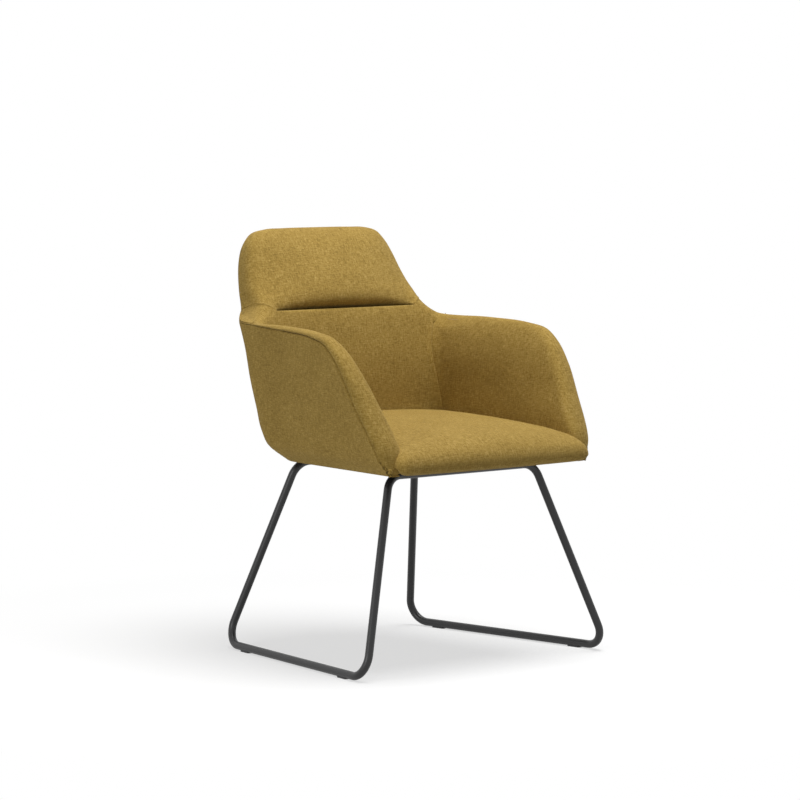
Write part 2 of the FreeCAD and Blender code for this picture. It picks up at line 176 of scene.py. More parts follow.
def painted_frame():
    """Black satin powder coat with its fine orange peel, a little worn under the runners."""
    material, tree, shader = new_material("black_powder_coat")
    n = Nodes(tree)
    peel = n.noise(n.coordinates, 900.0, 3.0, 0.6)
    broad = n.noise(n.coordinates, 18.0, 2.0, 0.5)
    wear = n.math("MULTIPLY", n.ramp(n.split(n.coordinates)[2], 0.0035, 0.0015),
                  n.ramp(n.noise(n.coordinates, 160.0, 4.0, 0.65), 0.5, 0.62))
    colour = n.mix(n.ramp(broad, 0.3, 0.7),
                   (0.0085, 0.0085, 0.009, 1), (0.0125, 0.0125, 0.013, 1))
    colour = n.mix(n.math("MULTIPLY", wear, 0.6), colour, (0.05, 0.05, 0.052, 1))
    join(tree, shader, colour, n.ramp(peel, 0.3, 0.7, 0.34, 0.44), n.bump(peel, 0.12, 0.0002))
    set_shader(shader, Specular_IOR_Level=0.5)
    return material


def zinc_steel():
    """Bright zinc plated fasteners with fine turning marks."""
    material, tree, shader = new_material("zinc_steel")
    n = Nodes(tree)
    marks = n.noise(n.stretched(n.coordinates, (400, 400, 4000)), 1.0, 3.0, 0.6)
    cloud = n.noise(n.coordinates, 90.0, 3.0, 0.5)
    colour = n.mix(n.ramp(cloud, 0.3, 0.7), (0.42, 0.42, 0.43, 1), (0.58, 0.58, 0.57, 1))
    join(tree, shader, colour, n.ramp(marks, 0.3, 0.7, 0.26, 0.4), n.bump(marks, 0.1, 0.0001))
    set_shader(shader, Metallic=1.0)
    return material


def nylon():
    """Moulded grey-black nylon of the glides, scuffed where it slides."""
    material, tree, shader = new_material("moulded_nylon")
    n = Nodes(tree)
    grain = n.noise(n.coordinates, 1400.0, 3.0, 0.6)
    scuff = n.noise(n.stretched(n.coordinates, (500, 60, 500)), 1.0, 4.0, 0.65)
    low = n.ramp(n.split(n.coordinates)[2], 0.002, 0.0002)
    colour = n.mix(n.math("MULTIPLY", low, n.ramp(scuff, 0.45, 0.6)),
                   (0.012, 0.012, 0.013, 1), (0.09, 0.09, 0.088, 1))
    join(tree, shader, colour, n.ramp(grain, 0.3, 0.7, 0.45, 0.6), n.bump(grain, 0.15, 0.0002))
    return material


def plywood():
    """Birch plywood: long grain on the faces and thin darker plies along the edges."""
    material, tree, shader = new_material("birch_plywood")
    n = Nodes(tree)
    grain = n.noise(n.stretched(n.coordinates, (160, 9, 160)), 1.0, 4.0, 0.6)
    ply = n.math("SINE", n.math("MULTIPLY", n.split(n.coordinates)[2], 2 * math.pi / PLY))
    colour = n.mix(n.ramp(grain, 0.35, 0.65), (0.50, 0.34, 0.17, 1), (0.66, 0.49, 0.29, 1))
    edge = n.math("MULTIPLY", n.ramp(ply, 0.2, 0.9), 0.35)
    colour = n.mix(edge, colour, (0.30, 0.18, 0.08, 1))
    join(tree, shader, colour, n.ramp(grain, 0.3, 0.7, 0.5, 0.65), n.bump(grain, 0.2, 0.0003))
    return material


def dust_cover():
    """Black spunbond cloth under the seat, with its pressed dots."""
    material, tree, shader = new_material("spunbond_cover")
    n = Nodes(tree)
    dots = tree.nodes.new("ShaderNodeTexVoronoi")
    dots.inputs["Scale"].default_value = 420.0
    tree.links.new(n.coordinates, dots.inputs["Vector"])
    pressed = n.ramp(dots.outputs["Distance"], 0.1, 0.45)
    fibres = n.noise(n.stretched(n.coordinates, (700, 90, 700)), 1.0, 4.0, 0.7)
    colour = n.mix(n.math("MULTIPLY", pressed, fibres),
                   (0.008, 0.008, 0.008, 1), (0.035, 0.035, 0.034, 1))
    join(tree, shader, colour, n.ramp(fibres, 0.3, 0.7, 0.75, 0.95), n.bump(pressed, 0.4, 0.0002))
    return material


def dress(object_, material):
    object_.data.materials.clear()
    object_.data.materials.append(material)


def shade_smooth(object_):
    for polygon in object_.data.polygons:
        polygon.use_smooth = True


FABRIC = woven_fabric()
FRAME_PAINT = painted_frame()
STEEL = zinc_steel()
GLIDE = nylon()
WOOD = plywood()
COVER = dust_cover()

SHARP_ANGLE = math.radians(35)         # edges that turn more than this stay sharp
FINISHES = {
    "sled_tube": FRAME_PAINT,
    "mount_plate": FRAME_PAINT,
    "front_splice": FRAME_PAINT,
    "rear_splice": FRAME_PAINT,
    "glide": GLIDE,
    "base_": STEEL,
    "tee_nuts": STEEL,
    "shell_screws": STEEL,
    "seat_board": WOOD,
    "shell_core": WOOD,
    "underside_cover": COVER,
}
for name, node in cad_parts.items():
    for start, finish in FINISHES.items():
        if name.startswith(start):
            dress(node, finish)
            shade_smooth(node)
            node.data.set_sharp_from_angle(angle=SHARP_ANGLE)


# The upholstery is drawn in mm, in the sizes of the CAD shell, and then moved onto it.
ORIGIN_Y = 4.0                 # the runners' middle lies this far in front of the frame's origin
FRONT_REACH = 300.0            # the plan outlines start this far in front of Y 0
CORNER_END = math.radians(85)  # the corners turn this far, and the back's own arc the rest
LOW_EDGE = 395.5               # height of the outer covers' lower edge
CREASE_Z = 694.0               # height of the crease across the back
PROBE = 0.5                    # slopes are measured over this distance to each side
MIRROR = np.array([-1, 1, 1])
SIDES = (("left", False), ("right", True))


class Curve:
    """Smooth curve through rows of values, each given at its own place along the curve."""

    def __init__(self, places, rows):
        self.t = np.array(places, float)
        self.v = np.array(rows, float)
        step = np.diff(self.t)[:, None]
        slope = np.diff(self.v, axis=0) / step
        inner = (slope[:-1] * step[1:] + slope[1:] * step[:-1]) / (step[1:] + step[:-1])
        self.d = np.vstack([slope[:1], inner, slope[-1:]])

    def __call__(self, t):
        t = np.clip(np.asarray(t, float), self.t[0], self.t[-1])
        i = np.clip(np.searchsorted(self.t, t, side="right") - 1, 0, len(self.t) - 2)
        step = (self.t[i + 1] - self.t[i])[..., None]
        u = (t - self.t[i])[..., None] / step
        a, b = self.v[i], self.v[i + 1]
        da, db = self.d[i] * step, self.d[i + 1] * step
        return (a * (1 + 2 * u) * (1 - u) ** 2 + b * u * u * (3 - 2 * u)
                + da * u * (1 - u) ** 2 - db * u * u * (1 - u))


def by_height(rows):
    rows = np.array(rows, float)
    return Curve(rows[:, 0], rows[:, 1:])


# Outlines of the shell in plan: height, half width at the front end, half width where
# the straight side ends, Y where it ends, corner radius
OUTER = by_height((
    (395, 257, 219, 70, 112), (422, 275, 240, 108, 88), (452, 285, 247, 127, 76),
    (500, 295, 250, 144, 68), (560, 306, 255, 160, 65), (620, 316, 257, 174, 65),
    (680, 322, 257, 198, 65), (740, 324, 255, 227, 65), (800, 324, 254, 247, 65),
    (860, 324, 252, 247, 65),
))
INNER = by_height((
    (390, 223, 204, 108, 25), (440, 225, 207, 112, 25), (485, 231, 209, 116, 25),
    (540, 248, 211, 120, 25), (595, 266, 214, 128, 25), (640, 284, 224, 138, 25),
    (672, 303, 236, 148, 22), (704, 314, 240, 160, 22),
))
# Front of the upper back pad: height, Y in the middle, Y at the sides
UPPER_FRONT = by_height((
    (694, 190, 184), (706, 183, 192), (720, 182, 203), (745, 191, 223), (790, 216, 246),
    (828, 242, 262), (846, 258, 274), (858, 275, 290),
))
UPPER_HALF = 205.0             # half width at which that Y at the sides is reached
JOINT_FOOT = (115.0, 470.0)    # Y and Z of a point on the seam between arm and back pads
JOINT_LEAN = 0.24              # that seam leans back this much for its height
JOINT_TOP = 655.0              # and reaches the rim at this height


def joint_y(z):
    """Y of the seam between arm and back pads."""
    return JOINT_FOOT[0] + JOINT_LEAN * (z - JOINT_FOOT[1])


def plan(shell, z):
    """The plan outline's four sizes at a height, its side's slope and its corner's centre."""
    half_front, half_rear, side_end, radius = np.moveaxis(shell(z), -1, 0)
    slope = np.arctan2(half_front - half_rear, side_end + FRONT_REACH)
    centre_x = half_rear - radius * np.cos(slope)
    centre_y = side_end - radius * np.sin(slope)
    return half_front, half_rear, side_end, radius, slope, centre_x, centre_y


def back_arc(radius, cx, cy):
    """Radius of the back's shallow arc in plan, and Y of its centre."""
    return cx / math.cos(CORNER_END) + radius, cy - cx * math.tan(CORNER_END)


def side_x(shell, y, z):
    """Half width of the shell along its side and round its corner."""
    half_front, half_rear, side_end, radius, _, cx, cy = plan(shell, z)
    line = half_front + (y + FRONT_REACH) * (half_rear - half_front) / (side_end + FRONT_REACH)
    corner = cx + np.sqrt(np.clip(radius ** 2 - (y - cy) ** 2, 0, None))
    return np.where(y < side_end, line, corner)


def rear_y(shell, x, z):
    """Y of the shell round its corner and along its back."""
    radius, _, cx, cy = plan(shell, z)[3:]
    x = np.abs(x)
    bulge, middle_y = back_arc(radius, cx, cy)
    back = middle_y + np.sqrt(bulge ** 2 - x ** 2)
    corner = cy + np.sqrt(np.clip(radius ** 2 - (x - cx) ** 2, 0, None))
    return np.where(x < cx + radius * math.cos(CORNER_END), back, corner)


def skin_point(p, z):
    """Point of the outer skin, p mm along its plan outline from the front end."""
    half_front, half_rear, side_end, radius, slope, cx, cy = plan(OUTER, z)
    side = np.hypot(side_end + FRONT_REACH, half_front - half_rear)
    corner = radius * (CORNER_END - slope)
    bulge, middle_y = back_arc(radius, cx, cy)
    along = np.minimum(p / side, 1)
    turn = slope + np.clip(p - side, 0, corner) / radius
    last = np.minimum(CORNER_END + np.clip(p - side - corner, 0, None) / bulge, math.pi / 2)
    on_side, on_corner = p < side, p < side + corner
    x = np.where(on_side, half_front + (half_rear - half_front) * along,
                 np.where(on_corner, cx + radius * np.cos(turn), bulge * np.cos(last)))
    y = np.where(on_side, (side_end + FRONT_REACH) * along - FRONT_REACH,
                 np.where(on_corner, cy + radius * np.sin(turn),
                          middle_y + bulge * np.sin(last)))
    return np.stack([x, y, z + 0 * x], -1)


def skin_length(z, y=None, x=None):
    """How far along the plan outline the point at Y on the side, or X on the back, lies."""
    half_front, half_rear, side_end, radius, slope, cx, cy = plan(OUTER, z)
    side = np.hypot(side_end + FRONT_REACH, half_front - half_rear)
    if y is not None:
        return (y + FRONT_REACH) * side / (side_end + FRONT_REACH)
    if x > cx + radius * math.cos(CORNER_END):
        return side + radius * (np.arccos(np.clip((x - cx) / radius, -1, 1)) - slope)
    bulge, _ = back_arc(radius, cx, cy)
    return side + radius * (CORNER_END - slope) + bulge * (np.arccos(x / bulge) - CORNER_END)


def back_front(x, z):
    """Y of the back's upholstered front, below and above the crease."""
    x, z = np.broadcast_arrays(np.asarray(x, float), np.asarray(z, float))
    middle, side = np.moveaxis(UPPER_FRONT(z), -1, 0)
    high = middle + (side - middle) * (x / UPPER_HALF) ** 2
    return np.where(z <= CREASE_Z, rear_y(INNER, x, z), high)


def inner_point(y, z):
    return np.stack([side_x(INNER, y, z), y + 0 * z, z + 0 * y], -1)


def unit(v):
    return v / np.maximum(np.linalg.norm(v, axis=-1, keepdims=True), 1e-9)


def side_normal(point, a, z):
    """Direction away from the seat, of a surface with a point for a place along and a height."""
    along = point(a + PROBE, z) - point(a - PROBE, z)
    up = point(a, z + PROBE) - point(a, z - PROBE)
    return unit(np.cross(along, up))


def rear_normal(surface, x, z):
    """Direction to the rear, of a surface that gives Y for X and Z."""
    dx = (surface(x + PROBE, z) - surface(x - PROBE, z)) / (2 * PROBE)
    dz = (surface(x, z + PROBE) - surface(x, z - PROBE)) / (2 * PROBE)
    return unit(np.stack([-dx, np.ones_like(dx), -dz], -1))


# The padded rim. Along the arm: ridge X, Y, Z, the seam's Y and Z, depth of the inner roll,
# and Y and Z where the inner face ends beside the seat
ARM_RIM = (
    (232, -272, 401.5, -270, 403, 14, -250, 402),
    (243, -274, 420, -262, 410, 14, -247, 408),
    (252, -269, 446, -254, 431, 14, -240, 415),
    (260, -251, 479, -233, 473, 15, -225, 420),
    (268, -228, 520, -204, 519, 16, -190, 425),
    (281, -186, 589, -170, 580, 18, -140, 428),
    (284, -151, 632, -143, 618, 20, -95, 430),
    (286, -118, 654.5, -112, 642, 22, -50, 430),
    (281, -75, 663.5, -68, 653, 24, -5, 430),
    (269, 28, 670.5, 22, 661, 27, 48, 430),
    (250, 165, 673, 156, 668, 30, 105.4, 430),
)
# From the arm's end up the shoulder and over the back: ridge X, Y, Z, the seam's X and Z,
# X and Z where the rim's inner roll ends
BACK_RIM = (
    (243, 188, 675, 250, 671, 218, 670),
    (232, 209, 682, 237, 677, 198, 681),
    (219, 236, 698, 213, 694, 182, 694),
    (212, 253, 728, 203, 725, 168, 720),
    (204, 266, 760, 195, 757, 158, 749),
    (193, 277, 795, 184, 791, 148, 777),
    (180, 286, 826, 170, 818, 136, 797),
    (162, 289, 846.5, 150, 837, 124, 808),
    (134, 290, 854, 130, 843, 108, 817),
    (90, 289, 855.5, 88, 844, 76, 820),
    (0, 288, 856, 0, 845, 0, 821),
)
ARM_END = len(ARM_RIM) - 1
CREASE_STATION = ARM_END + 3
REAR_SEAM_STATION = ARM_END + 8
REAR_SEAM_X = 150.0            # from there the rear seams run straight down at this X
CREASE_EDGE = 0.6              # the edge at the crease takes its Y this far below it
BELOW_EDGE = 1.5               # and every edge its direction this far below itself


def places_along(points):
    """Distance of each point from the first one, along their chain."""
    steps = np.linalg.norm(np.diff(points, axis=0), axis=1)
    return np.concatenate([[0], np.cumsum(steps)])


def rim_curves():
    """Ridge, seam, inner edge and the two directions into the foam, as curves along the rim."""
    ridge, seam, inner, outer_in, inner_in = [], [], [], [], []
    arm = np.array(ARM_RIM, float)
    slope = np.gradient(arm[:, 1:3], axis=0)
    into = unit(np.stack([slope[:, 1], -slope[:, 0]], -1))
    edges = arm[:, 1:3] + arm[:, 5:6] * into
    edges[-1] = joint_y(JOINT_TOP), JOINT_TOP
    for (x, y, z, seam_y, seam_z), (edge_y, edge_z) in zip(arm[:, :5], edges):
        p = skin_length(seam_z, y=seam_y)
        ridge.append((x, y, z))
        seam.append((p, seam_z))
        outer_in.append(-side_normal(skin_point, p, seam_z))
        inner.append(inner_point(edge_y, edge_z))
        inner_in.append(side_normal(inner_point, edge_y, edge_z))
    for x, y, z, seam_x, seam_z, edge_x, edge_z in BACK_RIM:
        p = skin_length(seam_z, x=seam_x)
        ridge.append((x, y, z))
        seam.append((p, seam_z))
        outer_in.append(-side_normal(skin_point, p, seam_z))
        at_z = CREASE_Z - CREASE_EDGE if edge_z == CREASE_Z else edge_z
        inner.append((edge_x, float(back_front(edge_x, at_z)), edge_z))
        inner_in.append(rear_normal(back_front, edge_x, edge_z - BELOW_EDGE))
    places = places_along(np.array(ridge, float))
    return places, [Curve(places, rows) for rows in (ridge, seam, inner, outer_in, inner_in)]


RIM_PLACES, (RIDGE, SEAM, INNER_EDGE, OUTER_IN, INNER_IN) = rim_curves()

# Depth of the groove at the rim's seam, from the arm over the shoulder to the back
ARM_TUCK, SHOULDER_TUCK, BACK_TUCK = 5.0, 3.2, 1.4
SEAM_TUCK = Curve((0, RIM_PLACES[ARM_END - 2], RIM_PLACES[ARM_END], RIM_PLACES[ARM_END + 2],
                   RIM_PLACES[-1]),
                  ((ARM_TUCK,), (ARM_TUCK,), (SHOULDER_TUCK,), (BACK_TUCK,), (BACK_TUCK,)))
TUCK_WIDTH = 4.0               # width of that groove on the rim
SEAM_FLANGE = 4.0              # the rim's skin runs on into the seam by this much
ROLL_FULLNESS = 0.75           # 1 is an ellipse, less is a fuller roll
JOINT_SINK, JOINT_WIDTH = 2.2, 6.0         # groove between arm and back pads
JOINT_FADE = 9.0               # that groove ends this far above the joint's top
COVER_WIDTH = 5.0              # width of the outer covers' grooves
REAR_SEAM_SINK = 3.0
CREASE_DEPTH, CREASE_LEAST = 5.0, 0.5      # added in the middle, and all over
CREASE_HALF, CREASE_FADE = 200.0, 80.0     # the crease fades out towards this half width
LOW_WIDTH, HIGH_WIDTH = 6.0, 22.0          # how far it reaches down and up
LOW_SHARE = 0.45               # the lower pad sinks by this share of the upper one's depth
PAD_SKIN, COVER_SKIN = 3.0, 4.0            # thickness of the drawn skins


def rolled(depth, distance, width):
    """How far a rounded edge has sunk at this distance from its seam."""
    share = np.clip(1 - distance / width, 0, 1)
    return depth * (1 - np.sqrt(1 - share ** 2))


def crease(x, height, width):
    """How far the fabric sinks at this height above or below the crease."""
    fade = np.clip((CREASE_HALF - np.abs(x)) / CREASE_FADE, 0, 1)
    depth = CREASE_LEAST + CREASE_DEPTH * fade * fade * (3 - 2 * fade)
    share = np.clip(1 - np.abs(height) / width, 0, 1)
    return (0.45 * rolled(1.0, np.abs(height), width) + 0.55 * share * share) * depth


def rim_section(s, steps=9):
    """Points across the rim, from the bottom of its seam over the ridge to the inner edge."""
    ridge, inner = RIDGE(s), INNER_EDGE(s)
    p, z = np.moveaxis(SEAM(s), -1, 0)
    seam = skin_point(p, z)
    outer_in, inner_in = unit(OUTER_IN(s)), unit(INNER_IN(s))
    reach = np.sum((ridge - seam) * outer_in, -1, keepdims=True)
    outer_centre = seam + reach * outer_in
    reach = np.sum((ridge - inner) * inner_in, -1, keepdims=True)
    inner_centre = inner + reach * inner_in
    length = np.linalg.norm(ridge - seam, axis=-1, keepdims=True)
    rows = []
    for angle in np.linspace(0, math.pi / 2, steps * 2):
        point = (outer_centre + (seam - outer_centre) * math.cos(angle)
                 + (ridge - outer_centre) * math.sin(angle))
        sunk = rolled(SEAM_TUCK(s), length * angle / (math.pi / 2), TUCK_WIDTH)
        rows.append(point + outer_in * sunk)
    rows.insert(0, rows[0] + outer_in * SEAM_FLANGE)
    above = s - RIM_PLACES[CREASE_STATION]
    width = np.where(above < 0, LOW_WIDTH, HIGH_WIDTH)
    share = np.where(above < 0, LOW_SHARE, 1.0)
    for angle in np.linspace(0, math.pi / 2, steps)[1:]:
        point = (inner_centre + (ridge - inner_centre) * math.cos(angle) ** ROLL_FULLNESS
                 + (inner - inner_centre) * math.sin(angle) ** ROLL_FULLNESS)
        sunk = crease(point[:, 0], above, width) * share * math.sin(angle) ** 2
        rows.append(point + inner_in * sunk[:, None])
    return np.array(rows)          # across, along, xyz


def line_distance(points, line):
    """Distance of each point to a chain of points."""
    flat = points.reshape(-1, 3)
    best = np.full(len(flat), 1e9)
    for a, b in zip(line[:-1], line[1:]):
        ab = b - a
        t = np.clip((flat - a) @ ab / max(ab @ ab, 1e-9), 0, 1)
        best = np.minimum(best, np.linalg.norm(flat - a - t[:, None] * ab, axis=1))
    return best.reshape(points.shape[:-1])


def grid_mesh(grids):
    """Vertices and faces of several grids of points."""
    points, faces = [], []
    for grid in grids:
        start = len(points)
        rows, columns = grid.shape[:2]
        points += [tuple(p) for p in grid.reshape(-1, 3)]
        for i in range(rows - 1):
            for j in range(columns - 1):
                a = start + i * columns + j
                faces.append((a, a + 1, a + 1 + columns, a + columns))
    return points, faces


WELD = 0.00005                 # metres below which neighbouring points become one
SLIVER = 0.00002               # edges shorter than this are dissolved


def soft_piece(name, points, faces, node, mirrored=False, thickness=0.0, away_from=None,
               smoothing=0):
    """Fabric piece from points in mm: welded, turned outwards, smoothed, closed by its thickness."""
    sign = -1 if mirrored else 1
    mesh = bpy.data.meshes.new(name)
    mesh.from_pydata([(sign * x / 1000, (y - ORIGIN_Y) / 1000, z / 1000) for x, y, z in points],
                     [], faces)
    work = bmesh.new()
    work.from_mesh(mesh)
    bmesh.ops.remove_doubles(work, verts=work.verts, dist=WELD)
    bmesh.ops.dissolve_degenerate(work, edges=work.edges, dist=SLIVER)
    bmesh.ops.recalc_face_normals(work, faces=work.faces)
    if away_from is not None:
        work.faces.ensure_lookup_table()
        target = Vector((sign * away_from[0], away_from[1] - ORIGIN_Y, away_from[2])) / 1000
        votes = sum((f.calc_center_median() - target).dot(f.normal) * f.calc_area()
                    for f in work.faces)
        if votes < 0:
            bmesh.ops.reverse_faces(work, faces=work.faces)
    inner = [v for v in work.verts if not v.is_boundary]
    for _ in range(smoothing):
        bmesh.ops.smooth_vert(work, verts=inner, factor=0.5, use_axis_x=True, use_axis_y=True,
                              use_axis_z=True)
    work.to_mesh(mesh)
    work.free()
    piece = bpy.data.objects.new(name, mesh)
    bpy.context.scene.collection.objects.link(piece)
    if thickness:
        solid = piece.modifiers.new("thickness", "SOLIDIFY")
        solid.thickness = thickness / 1000
        solid.offset = -1
        graph = bpy.context.evaluated_depsgraph_get()
        piece.data = bpy.data.meshes.new_from_object(piece.evaluated_get(graph))
        piece.modifiers.clear()
    dress(piece, FABRIC)
    shade_smooth(piece)
    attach(piece, "root")
    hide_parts(node)


def arm_pads():
    """Padded lip and inner face of each arm, in one piece that is closed at its front end."""
    end = RIM_PLACES[ARM_END]
    close = np.array([9, 6.5, 4.5, 3, 1.8, 0.8, 0.2, 0])
    s = np.concatenate([np.linspace(0, end - 12, 110), end - close])
    rim = rim_section(s)
    edge = INNER_EDGE(s)[:, 1:]
    foot = Curve(RIM_PLACES[:ARM_END + 1], np.array(ARM_RIM, float)[:, 6:8])(s)
    face = []
    for share in np.linspace(0, 1, 34)[1:]:
        yz = edge + (foot - edge) * share
        face.append(inner_point(yz[:, 0], yz[:, 1]))
    grid = np.concatenate([rim, np.array(face)])
    outer_rows = len(rim) // 2
    into = np.concatenate([np.repeat(unit(OUTER_IN(s))[None], outer_rows, 0),
                           np.repeat(unit(INNER_IN(s))[None], len(grid) - outer_rows, 0)])
    # only the columns near the joint are drawn in towards it
    gap = np.abs(joint_y(grid[..., 2]) - grid[..., 1]) / math.hypot(1, JOINT_LEAN)
    gap = np.where(s[None] > end - 40, gap, JOINT_WIDTH)
    grid = grid + into * rolled(JOINT_SINK, gap, JOINT_WIDTH)[..., None]
    # the front end draws together to a point inside the arm's lower end
    low_z = ARM_RIM[0][-1]
    centre = rim[:, 0].mean(0)
    cap = []
    for share, drop in ((0.0, 2.2), (0.45, 2.2), (0.8, 1.6), (0.95, 0.8)):
        column = centre + (grid[:, 0] - centre) * share
        column[:, 2] = low_z - drop + (column[:, 2] - low_z) * share * share
        column[:, 1] += 6 * (1 - share ** 2)
        cap.append(column)
    points, faces = grid_mesh([np.concatenate([np.stack(cap, 1), grid], 1)])
    for side, mirrored in SIDES:
        soft_piece("arm_pad_" + side, points, faces, "inner_arm_" + side, mirrored=mirrored,
                   thickness=PAD_SKIN, away_from=(265, 0, 560), smoothing=3)


# The outer covers' rows, as shares of the way down: closer together below the upper seam
COVER_ROWS = np.concatenate([[0, .0015, .004, .008, .013, .02, .03, .045],
                             np.linspace(.065, 1, 46)])[:, None]
BEHIND_SHOULDER = 175.0        # length of a side cover's lower edge behind the shoulder


def sewn(grid, normal, tuck):
    """The skin sunk along its upper and rear seams, its lower edge folded in under the panel."""
    sunk = np.maximum(rolled(tuck, line_distance(grid, grid[0]), COVER_WIDTH),
                      rolled(REAR_SEAM_SINK, line_distance(grid, grid[:, -1]), COVER_WIDTH))
    placed = grid - normal * sunk[..., None]
    level = unit(normal[-1] * np.array([1, 1, 0]))
    rows = [placed]
    for inward, drop in ((1.5, 0.6), (5, 0.9), (12, 1.0), (20, 1.0)):
        row = placed[-1] - level * inward
        row[:, 2] = LOW_EDGE - drop
        rows.append(row[None])
    return np.concatenate(rows)


def side_covers():
    """Fabric over the outer side panels, from the rim's seam down and back to the rear seam."""
    shoulder, stop = RIM_PLACES[ARM_END], RIM_PLACES[REAR_SEAM_STATION]
    turn = np.linspace(0, math.pi / 2, 14)[1:]
    s = np.concatenate([np.linspace(0, stop - 30, 170), stop - 30 * (1 - np.sin(turn))])
    seam_p, seam_z = np.moveaxis(SEAM(s), -1, 0)
    low_shoulder = skin_length(LOW_EDGE, x=REAR_SEAM_X) - BEHIND_SHOULDER
    share = np.clip((s - shoulder) / (stop - shoulder), 0, 1)
    low_p = np.where(s < shoulder, seam_p * low_shoulder / SEAM(shoulder)[0],
                     low_shoulder + BEHIND_SHOULDER * share)
    low_p = np.maximum(low_p, seam_p[0])
    p = seam_p + (low_p - seam_p) * COVER_ROWS
    z = seam_z + (LOW_EDGE - seam_z) * COVER_ROWS
    p[:, -1] = [skin_length(height, x=REAR_SEAM_X) for height in z[:, -1]]
    grid = sewn(skin_point(p, z), side_normal(skin_point, p, z), SEAM_TUCK(s)[:, 0])
    points, faces = grid_mesh([grid])
    for side, mirrored in SIDES:
        soft_piece("outer_cover_" + side, points, faces, "outer_panel_" + side,
                   mirrored=mirrored, thickness=COVER_SKIN, away_from=(150, 0, 560))


def rear_seam_height(x):
    """Height of the rim's seam over the back, by X."""
    s = np.linspace(RIM_PLACES[CREASE_STATION], RIM_PLACES[-1], 400)
    p, z = np.moveaxis(SEAM(s), -1, 0)
    seam = skin_point(p, z)
    order = np.argsort(seam[:, 0])
    return np.interp(x, seam[order, 0], seam[order, 2])


def outer_y(x, z):
    return rear_y(OUTER, x, z)


def back_cover():
    """Fabric over the outer back panel, between the two rear seams."""
    x = REAR_SEAM_X * np.sin(np.linspace(0, math.pi / 2, 40))
    top = rear_seam_height(x)
    z = top + (LOW_EDGE - top) * COVER_ROWS
    x = np.repeat(x[None], len(COVER_ROWS), 0)
    half = sewn(np.stack([x, outer_y(x, z), z], -1), rear_normal(outer_y, x, z), BACK_TUCK)
    points, faces = grid_mesh([half, half[:, ::-1] * MIRROR])
    soft_piece("outer_cover_back", points, faces, "outer_panel_back", thickness=COVER_SKIN,
               away_from=(0, 100, 600))


def lower_back():
    """Back pad below the crease, with the shoulders that run up to it."""
    start, stop = RIM_PLACES[ARM_END], RIM_PLACES[CREASE_STATION]
    s = start + (stop - start) * (1 - np.cos(np.linspace(0, math.pi, 22))) / 2
    edge = INNER_EDGE(s)
    low_z = np.concatenate([np.linspace(448, 640, 44), [645, 649, 652, 653.8]])
    joint = inner_point(joint_y(low_z), low_z)
    edge_x = np.concatenate([joint[:, 0], edge[:, 0]])
    edge_z = np.concatenate([low_z, edge[:, 2]])
    across = np.sin(np.linspace(0, math.pi / 2, 60))
    x = edge_x[:, None] * across
    z = np.repeat(edge_z[:, None], len(across), 1)
    front = np.stack([x, back_front(x, np.minimum(z, CREASE_Z - 0.01)), z], -1)
    into = rear_normal(back_front, x, np.minimum(z, CREASE_Z - 2 * PROBE))
    near_joint = line_distance(front, np.concatenate([joint, edge[:1]]))
    sunk = rolled(JOINT_SINK, near_joint, JOINT_WIDTH) * (z < JOINT_TOP + JOINT_FADE)
    sunk = np.maximum(sunk, crease(x, CREASE_Z - z, LOW_WIDTH) * LOW_SHARE)
    front = front + into * sunk[..., None]
    rim = rim_section(s)[::-1].transpose(1, 0, 2)
    rim[:, 0] = front[len(low_z):, -1]
    points, faces = grid_mesh([front, rim, front * MIRROR, rim * MIRROR])
    soft_piece("back_pad_low", points, faces, "back_pad_lower", thickness=PAD_SKIN,
               away_from=(0, 600, 560), smoothing=6)


def upper_back():
    """Head end of the back, from the crease over its rolled edges to the rear seam."""
    s = np.linspace(RIM_PLACES[CREASE_STATION], RIM_PLACES[-1], 90)
    rim = rim_section(s)[::-1]
    edge = rim[0]
    # rings from a middle point out to the crease and the rim's inner edge
    centre = np.array([0, 0, 765.0])
    rings = np.concatenate([np.linspace(0, 0.9, 22), [0.93, 0.955, 0.975, 0.99, 1.0]])
    low_x = edge[0, 0] * np.cos(np.linspace(0, math.pi / 2, 44))[::-1]
    low = np.stack([low_x, 0 * low_x, CREASE_Z + 0 * low_x], -1)[:-1]
    flat = np.concatenate([low, edge]) * np.array([1, 0, 1])
    front = []
    for ring in rings:
        row = centre + (flat - centre) * ring
        x, z = row[:, 0], row[:, 2]
        row[:, 1] = back_front(x, z + 0.02)
        sunk = crease(x, z - CREASE_Z, HIGH_WIDTH)
        front.append(row + rear_normal(back_front, x, z + 2 * PROBE) * sunk[:, None])
    front = np.array(front)
    rim[0] = front[-1][len(low):]
    # the lower edge folds down behind the lower pad and closes the crease
    tuck = front[-1][:len(low) + 1]
    flange = np.array([tuck, tuck + np.array([0, 6, -4]), tuck + np.array([0, 12, -9])])
    points, faces = grid_mesh([front, rim, flange, front * MIRROR, rim * MIRROR, flange * MIRROR])
    soft_piece("back_pad_high", points, faces, "back_pad_upper", thickness=PAD_SKIN,
               away_from=(0, 600, 760), smoothing=6)


